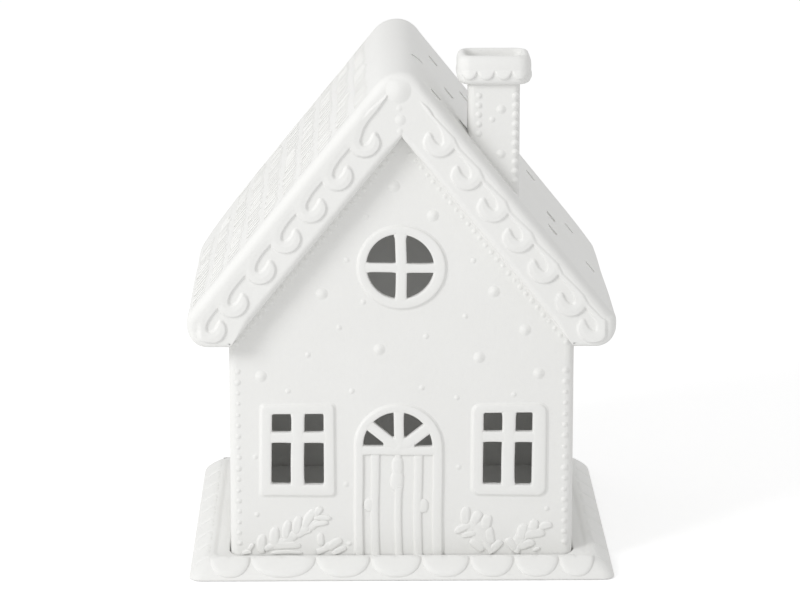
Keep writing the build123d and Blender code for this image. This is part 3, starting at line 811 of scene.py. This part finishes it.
class TEALIGHT_OT_door(bpy.types.Operator):
    """Makes the arched door surround with its fanlight, and the ribbed leaf"""

    bl_idname = "tealight.door"
    bl_label = "Door"

    def execute(self, context):
        size = sizes()
        put("door_arch", *self.arch(size), (0, 40, 40), replaced=("door_surround",))
        put("door_ribs", *self.leaf(size), (0, 40, 40), replaced=("door_leaf",))
        return {"FINISHED"}

    def arch(self, size):
        """A frame section carried up a jamb, over a half oval and down; then transom, hub and spokes."""
        low, high = box_mm("door_surround")
        spring = high[2] - 17.3
        share, height = frame_profile(size["relief"], size["wall"], skirt=0.22)
        left = (low[0] + 3.3 * share)[:, None]
        right = (high[0] - 4.2 * share)[:, None]
        crown = (high[2] - 3.2 * share)[:, None]
        turn = np.linspace(pi, 0, 41)[None]
        foot = low[2] + 0.05
        rise = np.linspace(foot, spring, 12)[None, :-1]
        x = np.concatenate([
            np.broadcast_to(left, (len(share), 11)),
            (left + right) / 2 + (right - left) / 2 * np.cos(turn),
            np.broadcast_to(right, (len(share), 11)),
        ], axis=1)
        z = np.concatenate([
            np.broadcast_to(rise, (len(share), 11)),
            spring + (crown - spring) * np.sin(turn),
            np.broadcast_to(rise[:, ::-1], (len(share), 11)),
        ], axis=1)
        rings = np.stack([x, z], -1)
        points = front_points(rings, height[:, None])
        caps = np.repeat(points.mean(axis=0, keepdims=True)[:, [0, -1]], len(share), axis=0)
        points = np.concatenate([caps[:, :1], points, caps[:, 1:]], axis=1)
        parts = [sheet(points, loop=True)]
        relief, thin = size["relief"], size["wall"] - 0.2
        mid, hub = -0.9, spring - 1.2
        beam, sill = spring - 1.7, spring - 1.7 + 3.2
        parts.append(bar((low[0] + 1.6, beam), (high[0] - 2.0, beam), 3.6, relief * 0.96, thin, flare=0.4))
        parts.append(bar((mid - 6.4, sill), (mid + 6.0, sill), 4.4, relief * 0.9, thin, flare=0.0))
        for turn, reach, wide in ((37, 17.0, 4.5), (90, 17.0, 4.0), (140, 18.0, 4.2)):
            way = np.array([cos(radians(turn)), sin(radians(turn))])
            tip = np.array([mid, hub]) + reach * way
            parts.append(bar((mid, hub), tip, wide, relief * 0.94, thin, flare=0.5))
        parts.append(domes([(mid, WALL_LOW[1] + 0.2, hub + 1.0)], (4.8,), tall=0.3, rings=8, sectors=26))
        points, faces = together(parts)
        return hand_cut(points), faces

    def leaf(self, size):
        """A flat panel with rounded ribs, a swelling lantern shape and two knobs."""
        low, high = box_mm("door_leaf")
        x = np.linspace(low[0] - 1, high[0] + 1, 8)
        z = np.linspace(low[2] + 0.05, high[2] + 0.5, 12)
        flat = np.stack(np.meshgrid(x, z, indexing="ij"), -1)
        parts = [sheet(front_points(flat, 0.02))]
        foot = low[2] + 0.3
        for at, wide, top in ((-10.7, 3.5, high[2]), (-1.3, 2.9, 34.5), (6.5, 3.5, high[2])):
            parts.append(bar((at, foot), (at, top), wide, 0.85, 0.6, flare=0.3, round_power=0.85))
        parts.append(bar((-1.6, 41.0), (-1.6, high[2] + 1.5), 2.4, 0.7, 0.6, flare=0.3, round_power=0.85))
        lantern = [(-1.5, 42.9, 8.4, 4.9, 90), (-1.5, 36.9, 9.8, 5.6, 90)]
        knobs = [(-12.6, 26.8, 6.0, 5.0, 90), (8.6, 26.6, 6.2, 5.6, 90)]
        parts.append(pillows(lantern, 1.0, crease=0.0))
        parts.append(pillows(knobs, 0.95, crease=0.0, blunt=2.2))
        points, faces = together(parts)
        return hand_cut(points), faces


class TEALIGHT_OT_pearls(bpy.types.Operator):
    """Sets the rows of pearls along corners, rakes and chimney, and the scattered snow dots"""

    bl_idname = "tealight.pearls"
    bl_label = "Pearls and snow dots"

    def execute(self, context):
        size = sizes()
        put("corner_pearls", *self.corners(size), (0, 0, 60))
        put("rake_pearls", *self.rakes(size), (0, 0, 60))
        put("chimney_pearls", *self.chimney(size), (36, -57, 180))
        put("snow_dots", *self.dots(), (0, 0, 60))
        return {"FINISHED"}

    def corners(self, size):
        """Columns of pearls a little in from each upright corner, on the front and back walls."""
        z = np.arange(11.0, size["eave_height"] - 10.0, size["pearl_step"])
        count = np.arange(len(z))
        wobble = 0.35 * (scatter(count, 1.0) - 0.5)
        big = size["pearl"] * (0.85 + 0.35 * scatter(count, 2.0))
        parts = []
        for side in (-1, 1):
            for y, out in ((WALL_LOW[1], FRONT), (WALL_HIGH[1], BACK)):
                x = side * (WALL_HIGH[0] - 3.5) + wobble
                parts.append(domes(spots(x, y, z + wobble), big, out, 0.4))
        return together(parts)

    def rakes(self, size):
        """Rows of pearls under both bargeboards, front and back, parallel to the slope."""
        x = np.arange(3.2, WALL_HIGH[0] - 3.0, 2.3)
        count = np.arange(len(x))
        apex = size["eave_height"] + WALL_HIGH[0] * tan(size["pitch"])
        wobble = 0.3 * (scatter(count, 5.0) - 0.5)
        z = apex - x * tan(size["pitch"]) - 4.7 + wobble
        big = 0.9 * size["pearl"] * (0.8 + 0.4 * scatter(count, 6.0))
        parts = []
        for y, out in ((WALL_LOW[1], FRONT), (WALL_HIGH[1], BACK)):
            for side in (-1, 1):
                parts.append(domes(spots(side * x, y, z), big, out, 0.3))
        return together(parts)

    def chimney(self, size):
        """Two columns of pearls on the chimney's front and back, down to the slope, and three dots."""
        parts = []
        for y, out in ((STACK_LOW[1], FRONT), (STACK_HIGH[1], BACK)):
            for x in (30.2, 44.4):
                z = np.arange(STACK_HIGH[2] - 4.6, roof_apex(size) - x * tan(size["pitch"]) + 1.0, -3.75)
                parts.append(domes(spots(x, y, z), np.full(len(z), 1.5), out, 0.5))
        across, up = np.array([(38.9, 187.4), (35.4, 183.4), (38.9, 169.7)]).T
        parts.append(domes(spots(across, STACK_LOW[1], up), (2.1, 1.4, 2.1), tall=0.4))
        return together(parts)

    def dots(self):
        """Snow dots scattered over the front: low domes, large ones first, then small ones."""
        large = [
            (-8.9, 91.0), (30.8, 87.6), (-31.5, 113.8), (36.6, 114.5), (-3.0, 157.0), (12.4, 145.2),
            (49.0, 98.8), (54.6, 81.0), (-55.9, 80.2),
        ]
        small = [
            (-24.8, 100.0), (-37.2, 88.9), (9.7, 96.3), (25.2, 104.4), (-45.2, 74.1), (-19.8, 74.1),
            (8.1, 75.3), (22.0, 71.2), (44.7, 72.4), (-21.6, 127.4), (-15.2, 110.4), (28.3, 127.0),
            (-14.0, 144.8), (-22.2, 35.5), (-58.0, 23.0), (-58.4, 47.1), (22.8, 42.5), (58.3, 25.1),
            (-21.0, 10.7),
        ]
        flat = np.array(large + small)
        radii = np.concatenate([np.full(len(large), 2.6), np.full(len(small), 1.3)])
        return domes(spots(flat[:, 0], WALL_LOW[1], flat[:, 1]), radii, tall=0.35)


class TEALIGHT_OT_leaves(bpy.types.Operator):
    """Grows the leaf sprays at the foot of the front wall"""

    bl_idname = "tealight.leaves"
    bl_label = "Leaf sprays"

    def execute(self, context):
        size = sizes()
        leaves = [
            (-55.9, 10.7, 8.4, 4.0, 88), (-50.7, 13.7, 8.6, 4.3, 88), (-45.9, 16.6, 8.3, 3.6, 80),
            (-41.6, 18.5, 8.0, 4.0, 80), (-36.9, 21.2, 9.5, 3.9, 60), (-33.5, 24.1, 5.0, 3.0, 50),
            (-31.7, 21.4, 7.4, 2.5, -2), (-32.6, 19.0, 7.0, 2.5, 12), (-46.3, 9.7, 12.2, 3.6, 2),
            (-46.0, 6.9, 13.0, 2.0, 0), (-60.3, 9.6, 3.6, 1.9, 60), (-62.2, 7.2, 4.0, 2.0, 10),
            (-32.3, 12.6, 5.6, 3.0, 95), (-26.8, 10.5, 7.2, 3.7, 35), (-25.0, 7.7, 6.5, 2.9, 25),
            (25.9, 22.3, 7.6, 4.3, 88), (30.2, 21.4, 6.2, 4.3, 60), (34.3, 19.5, 6.6, 4.6, 80),
            (24.6, 16.8, 7.6, 3.3, 25), (27.2, 14.3, 6.2, 2.8, 10), (35.8, 14.0, 7.6, 3.9, 100),
            (30.3, 9.7, 7.2, 4.1, -40), (38.1, 9.2, 7.0, 3.7, 45),
            (48.7, 15.4, 7.2, 4.5, 75), (53.3, 18.1, 5.2, 4.0, 80), (57.9, 17.8, 5.6, 3.5, 15),
            (53.3, 14.4, 9.0, 4.4, 8), (50.3, 9.9, 7.2, 3.9, 22), (44.0, 10.0, 6.6, 3.7, -55),
            (54.3, 8.1, 3.2, 1.6, 20),
        ]
        mounds = [
            (-49.6, 10.4, 9.0, 4.2, 20), (-44.4, 13.0, 8.0, 4.4, 40), (-39.2, 16.2, 8.0, 3.8, 42),
            (-35.2, 18.4, 6.0, 3.6, 40), (32.0, 14.8, 11.0, 7.4, 110), (28.6, 18.2, 7.0, 5.0, 60),
            (33.0, 9.6, 7.0, 4.5, 0), (47.4, 11.6, 7.5, 5.0, 70), (51.2, 15.0, 8.0, 5.0, 40),
            (-29.2, 9.4, 6.0, 3.4, 30),
        ]
        stalks = [
            [(-55.0, 8.6), (-52.0, 10.0), (-48.4, 11.2), (-44.5, 13.6), (-40.5, 14.8), (-36.6, 16.1)],
            [(-34.0, 7.2), (-31.0, 8.2), (-28.5, 9.2)],
            [(36.4, 6.8), (33.6, 11.0), (30.8, 16.0), (28.2, 19.0)],
            [(46.0, 6.8), (48.6, 11.6), (52.0, 15.0)],
        ]
        parts = [pillows(leaves, size["leaf_height"]), stems(stalks, 1.5)]
        parts.append(pillows(mounds, 0.75 * size["leaf_height"], crease=0.0))
        put("leaf_sprays", *together(parts), (0, 40, 15))
        return {"FINISHED"}


class TEALIGHT_OT_tray(bpy.types.Operator):
    """Makes the scalloped tray with its ledge, well and raised floor"""

    bl_idname = "tealight.tray"
    bl_label = "Tray"

    def execute(self, context):
        size = sizes()
        put("tray_body", *self.body(), (0, 0, 3), body="base", replaced=("base_tray",))
        put("tray_scallops", *self.scallops(size), (0, 0, -20), body="base")
        return {"FINISHED"}

    def body(self):
        """A cross-section carried round rounded rectangles and closed at both middles.

        Its rows are inset, height at the front, and height at the sides and the back, where the ledge inside
        the crest stands nearly as high as the crest.
        """
        face = TRAY_FACE[::-1]
        section = np.concatenate([
            [(60.0, 0.0, 0.0), (6.0, 0.0, 0.0), (1.6, 0.0, 0.0), (0.6, 0.12, 0.12), (0.1, 0.45, 0.45)],
            np.concatenate([face, face[:, 1:]], axis=1),
            [(9.8, 7.9, 7.92), (10.3, 7.5, 7.7), (10.8, 6.8, 7.5), (11.3, 6.45, 7.45), (11.9, 6.3, 7.5),
             (15.2, 6.25, 7.5), (15.65, 6.1, 7.35), (15.8, 5.7, 7.0), (15.8, 4.6, 4.6), (15.95, 4.3, 4.3),
             (16.2, 4.3, 4.3), (22.0, 4.3, 4.3), (22.3, 4.5, 4.5), (22.35, 5.2, 5.2), (22.4, 7.5, 7.5),
             (22.6, 7.85, 7.85), (23.0, 8.0, 8.0), (26.0, 8.0, 8.0), (60.0, 8.0, 8.0)],
        ])
        inset, z, z_side = section.T
        radius = np.interp(inset, [0, 9, 15, 22, 60], [5.0, 4.0, 4.6, 2.2, 2.2])
        wide = TRAY_HIGH[0]
        deep = TRAY_HIGH[1]
        rings = rect_rings(inset - wide, wide - inset, inset - deep, deep - inset, radius, steps=8)
        turn = np.concatenate([np.linspace(0, pi / 2, 8) + quarter * pi / 2 for quarter in range(4)])
        front = np.clip(-np.sin(turn), 0, 1) ** 2
        height = z_side[:, None] + (z - z_side)[:, None] * front
        points = np.concatenate([rings, height[..., None]], -1)
        low = np.zeros_like(points[:1])
        high = low + np.array([0.0, 0.0, z[-1]])
        return sheet(np.concatenate([low, points, high]), ring=True)

    def scallops(self, size):
        """U-shaped lobes on the outer faces: flat-topped pillows that hang from the crest.

        Each point lies so far down the tray's section and stands off it along its normal.
        """
        run = np.concatenate([[0.0], np.cumsum(np.linalg.norm(np.diff(TRAY_FACE, axis=0), axis=1))])
        way = np.gradient(TRAY_FACE, run, axis=0)
        ring = 1 - (1 - np.linspace(0, 1, 14)[:, None]) ** 2
        turn = np.linspace(pi, 2 * pi, 29)[None, :]
        wide = np.sign(np.cos(turn)) * np.abs(np.cos(turn)) ** 0.85
        deep = np.abs(np.sin(turn)) ** 0.8
        front_cuts = np.array([0.0, 0.106, 0.277, 0.418, 0.551, 0.676, 0.792, 0.908, 1.0])
        even_cuts = np.linspace(0, 1, 9)
        parts = []
        for quarter, cuts in enumerate((front_cuts, even_cuts, even_cuts, even_cuts)):
            proud = size["lobe_height"] * (0.4 if quarter else 1.0)
            half_long = TRAY_HIGH[1] - 9.5 if quarter % 2 else TRAY_HIGH[0] - 8.25
            half_deep = TRAY_HIGH[0] if quarter % 2 else TRAY_HIGH[1]
            middle = ((cuts[:-1] + cuts[1:]) - 1.0) * half_long
            half = np.diff(cuts) * half_long * 0.99
            along = middle[:, None, None] + half[:, None, None] * (ring * wide)[None]
            fall = np.broadcast_to(0.7 + 0.89 * run[-1] * ring * deep, along.shape)
            height = proud * (1 - ring**10) ** 0.5 * smooth(0.4, 1.6, fall) - LOBE_SUNK
            inset = np.interp(fall, run, TRAY_FACE[:, 0]) + height * np.interp(fall, run, way[:, 1])
            z = np.interp(fall, run, TRAY_FACE[:, 1]) - height * np.interp(fall, run, way[:, 0])
            points = quarter_turn(along, inset - half_deep, z, quarter)
            parts.append((points, copies(grid_faces(14, 29), len(middle), 14 * 29)))
        return together(parts)


class TEALIGHT_OT_chimney(bpy.types.Operator):
    """Makes the rounded chimney cap with its hanging lobes and sunk mouth, and the foot of the stack"""

    bl_idname = "tealight.chimney"
    bl_label = "Chimney cap and foot"

    def execute(self, context):
        heart = (*(CAP_LOW + CAP_HIGH)[:2] / 2, 203)
        put("cap_body", *self.cap(), heart, replaced=("chimney_cap",))
        put("cap_lobes", *self.lobes(), heart)
        put("stack_foot", *self.foot(sizes()), (STACK_LOW + STACK_HIGH) / 2 - (0, 0, 20))
        return {"FINISHED"}

    def foot(self, size):
        """The stack's sides carried down into the slope: a rounded rectangle cut along the pitch twice."""
        inset = np.array([0.06, 0.06])
        left, right = STACK_LOW[0] + inset, STACK_HIGH[0] - inset
        low, high = STACK_LOW[1] + inset, STACK_HIGH[1] - inset
        rings = rect_rings(left, right, low, high, np.array([1.5, 1.5]))
        z = roof_apex(size) - tan(size["pitch"]) * rings[..., 0] + np.array([-3.0, 1.0])[:, None]
        return sheet(np.concatenate([rings, z[..., None]], -1), ring=True)

    def cap(self):
        """A section, as inset and drop from the top, carried round rounded rectangles and closed."""
        section = np.array([
            (3.9, 11.5), (2.9, 11.48), (1.9, 11.3), (1.0, 10.8), (0.4, 10.1), (0.1, 9.2), (0.0, 8.0),
            (0.0, 3.4), (0.2, 2.0), (0.7, 0.9), (1.5, 0.2), (2.2, 0.0), (2.8, 0.2), (3.3, 0.8), (3.55, 1.8),
            (3.7, 4.0), (4.0, 5.6), (4.8, 6.2), (7.4, 6.3), (8.1, 6.6), (8.4, 7.2), (8.4, 11.4),
        ])
        inset, drop = section.T
        radius = np.interp(inset, [0, 3, 4.5, 8.4], [5.2, 3.4, 2.6, 1.4])
        rings = rect_rings(
            CAP_LOW[0] + inset, CAP_HIGH[0] - inset, CAP_LOW[1] + inset, CAP_HIGH[1] - inset, radius, steps=10
        )
        z = np.broadcast_to((CAP_HIGH[2] - drop)[:, None, None], (*rings.shape[:2], 1))
        return sheet(np.concatenate([rings, z], -1), ring=True, loop=True)

    def lobes(self):
        """Hanging lobes round the cap: half-oval pillows that fade out upwards."""
        ring = 1 - (1 - np.linspace(0, 1, 8)[:, None]) ** 2
        turn = np.linspace(pi, 2 * pi, 19)[None, :]
        centre = (CAP_LOW + CAP_HIGH) / 2
        span = (CAP_HIGH - CAP_LOW) / 2
        parts = []
        for quarter, count in enumerate((4, 3, 4, 3)):
            half_long, half_deep = (span[0], span[1]) if quarter % 2 == 0 else (span[1], span[0])
            half = (half_long - 1.0) / count
            middle = (2 * np.arange(count) + 1 - count) * half
            along = middle[:, None, None] + 0.97 * half * (ring * np.cos(turn))[None]
            fall = np.broadcast_to(-4.4 * ring * np.sin(turn), along.shape)
            proud = 0.4 if quarter % 2 else 1.2
            height = proud * (1 - ring**10) ** 0.5 * smooth(0.0, 2.6, fall) - LOBE_SUNK
            bend = 0.115 * np.maximum(np.abs(along) - (half_long - 5.2), 0) ** 2
            bend += 0.6 * np.maximum(fall - 3.6, 0) ** 2
            y, z = bend - half_deep - height, CAP_HIGH[2] - 5.0 - fall
            points = quarter_turn(along, y, z, quarter, centre)
            parts.append((points, copies(grid_faces(8, 19), count, 8 * 19)))
        return together(parts)


class TEALIGHT_OT_stage(bpy.types.Operator):
    """Sets the white floor, the soft lights and the camera"""

    bl_idname = "tealight.stage"
    bl_label = "Stage"

    def execute(self, context):
        colours = context.scene.tealight_colours
        self.floor(colours.backdrop)
        self.key_light(place=(-0.95, -0.86, 0.74), target=(0, 0, 0.09), size=0.5, power=7.8)
        self.room_light(place=(0.0, 0.0, 0.085), size=0.03, power=0.014)
        self.sky(strength=0.72)
        self.camera()
        context.scene.view_settings.view_transform = "Standard"
        return {"FINISHED"}

    def stand(self, name, data, place=(0, 0, 0)):
        """A new object of the stage at its place."""
        obj = bpy.data.objects.new(name, data)
        bpy.context.scene.collection.objects.link(obj)
        obj.location = place
        return obj

    def floor(self, colour, reach=4.0):
        """A wide pale floor, lifted to white for the camera so that only the object's shadow shows."""
        corners = [(-reach, -reach, 0), (reach, -reach, 0), (reach, reach, 0), (-reach, reach, 0)]
        mesh = bpy.data.meshes.new("floor")
        mesh.from_pydata(corners, [], [(0, 1, 2, 3)])
        self.stand("floor", mesh)
        material = bpy.data.materials.new("backdrop")
        material.use_nodes = True
        tree = material.node_tree
        shader = tree.nodes["Principled BSDF"]
        shader.inputs["Base Color"].default_value = (*colour, 1.0)
        shader.inputs["Roughness"].default_value = 1.0
        shader.inputs["Specular IOR Level"].default_value = 0.0
        glow = node(tree, "Emission", {"Strength": 0.345}).outputs[0]
        dark = node(tree, "BsdfTransparent", {"Color": (0, 0, 0, 1)}).outputs[0]
        lift = node(tree, "MixShader", {0: self.seen(tree), 1: dark, 2: glow}).outputs[0]
        add = node(tree, "AddShader", {0: shader.outputs[0], 1: lift})
        tree.links.new(add.outputs[0], tree.nodes["Material Output"].inputs["Surface"])
        mesh.materials.append(material)

    def seen(self, tree):
        """One for rays from the camera, off gloss and through glass, else zero."""
        path = node(tree, "LightPath").outputs
        most = path["Is Camera Ray"]
        for word in ("Is Glossy Ray", "Is Transmission Ray"):
            most = node(tree, "Math", {0: most, 1: path[word]}, operation="MAXIMUM").outputs[0]
        return most

    def key_light(self, place, target, size, power):
        """A square soft light that looks at a target."""
        light = bpy.data.lights.new("key_light", "AREA")
        light.size = size
        light.energy = power
        way = Vector([t - p for t, p in zip(target, place)])
        self.stand("key_light", light, place).rotation_euler = way.to_track_quat("-Z", "Y").to_euler()

    def room_light(self, place, size, power):
        """A faint lamp in the room for the light that keeps bouncing there."""
        light = bpy.data.lights.new("room_light", "POINT")
        light.shadow_soft_size = size
        light.energy = power
        self.stand("room_light", light, place).visible_camera = False

    def sky(self, strength):
        """An even soft sky, plain white where the camera looks past the floor."""
        world = bpy.data.worlds.new("studio")
        bpy.context.scene.world = world
        world.use_nodes = True
        tree = world.node_tree
        soft = tree.nodes["Background"]
        soft.inputs["Color"].default_value = (1, 1, 1, 1)
        soft.inputs["Strength"].default_value = strength
        white = node(tree, "Background", {"Color": (1, 1, 1, 1), "Strength": 1.0}).outputs[0]
        choose = node(tree, "MixShader", {0: self.seen(tree), 1: soft.outputs[0], 2: white})
        tree.links.new(choose.outputs[0], tree.nodes["World Output"].inputs["Surface"])

    def camera(self):
        """A long lens from a little above, square to the front."""
        lens = bpy.data.cameras.new("camera")
        lens.sensor_width = 36.0
        lens.lens = 154.87
        camera = self.stand("camera", lens, (-0.0192, -1.3915, 0.4173))
        camera.rotation_euler = (radians(77.0), 0.0, -0.0140)
        bpy.context.scene.camera = camera


class TEALIGHT_PT_panel(bpy.types.Panel):
    """Lists the pieces, their sizes and colours in the sidebar"""

    bl_idname = "TEALIGHT_PT_panel"
    bl_label = "Tealight house"
    bl_space_type = "VIEW_3D"
    bl_region_type = "UI"
    bl_category = "Tealight house"

    def draw(self, context):
        for step in STEPS:
            self.layout.operator(step.bl_idname)
        for held in (context.scene.tealight_sizes, context.scene.tealight_colours):
            column = self.layout.column()
            for key in type(held).__annotations__:
                column.prop(held, key)


STEPS = (
    TEALIGHT_OT_finishes, TEALIGHT_OT_roof, TEALIGHT_OT_windows, TEALIGHT_OT_door, TEALIGHT_OT_pearls,
    TEALIGHT_OT_leaves, TEALIGHT_OT_tray, TEALIGHT_OT_chimney, TEALIGHT_OT_stage,
)
CLASSES = (HouseSizes, HouseColours, *STEPS, TEALIGHT_PT_panel)


def register():
    """Registers the classes and hangs the sizes and colours on the scene."""
    for kind in CLASSES:
        bpy.utils.register_class(kind)
    bpy.types.Scene.tealight_sizes = PointerProperty(type=HouseSizes)
    bpy.types.Scene.tealight_colours = PointerProperty(type=HouseColours)


def unregister():
    """Takes everything off again."""
    del bpy.types.Scene.tealight_colours
    del bpy.types.Scene.tealight_sizes
    for kind in reversed(CLASSES):
        bpy.utils.unregister_class(kind)


def main():
    """Builds every piece in order."""
    register()
    for step in STEPS:
        group, name = step.bl_idname.split(".")
        getattr(getattr(bpy.ops, group), name)()


if __name__ == "__main__":
    main()
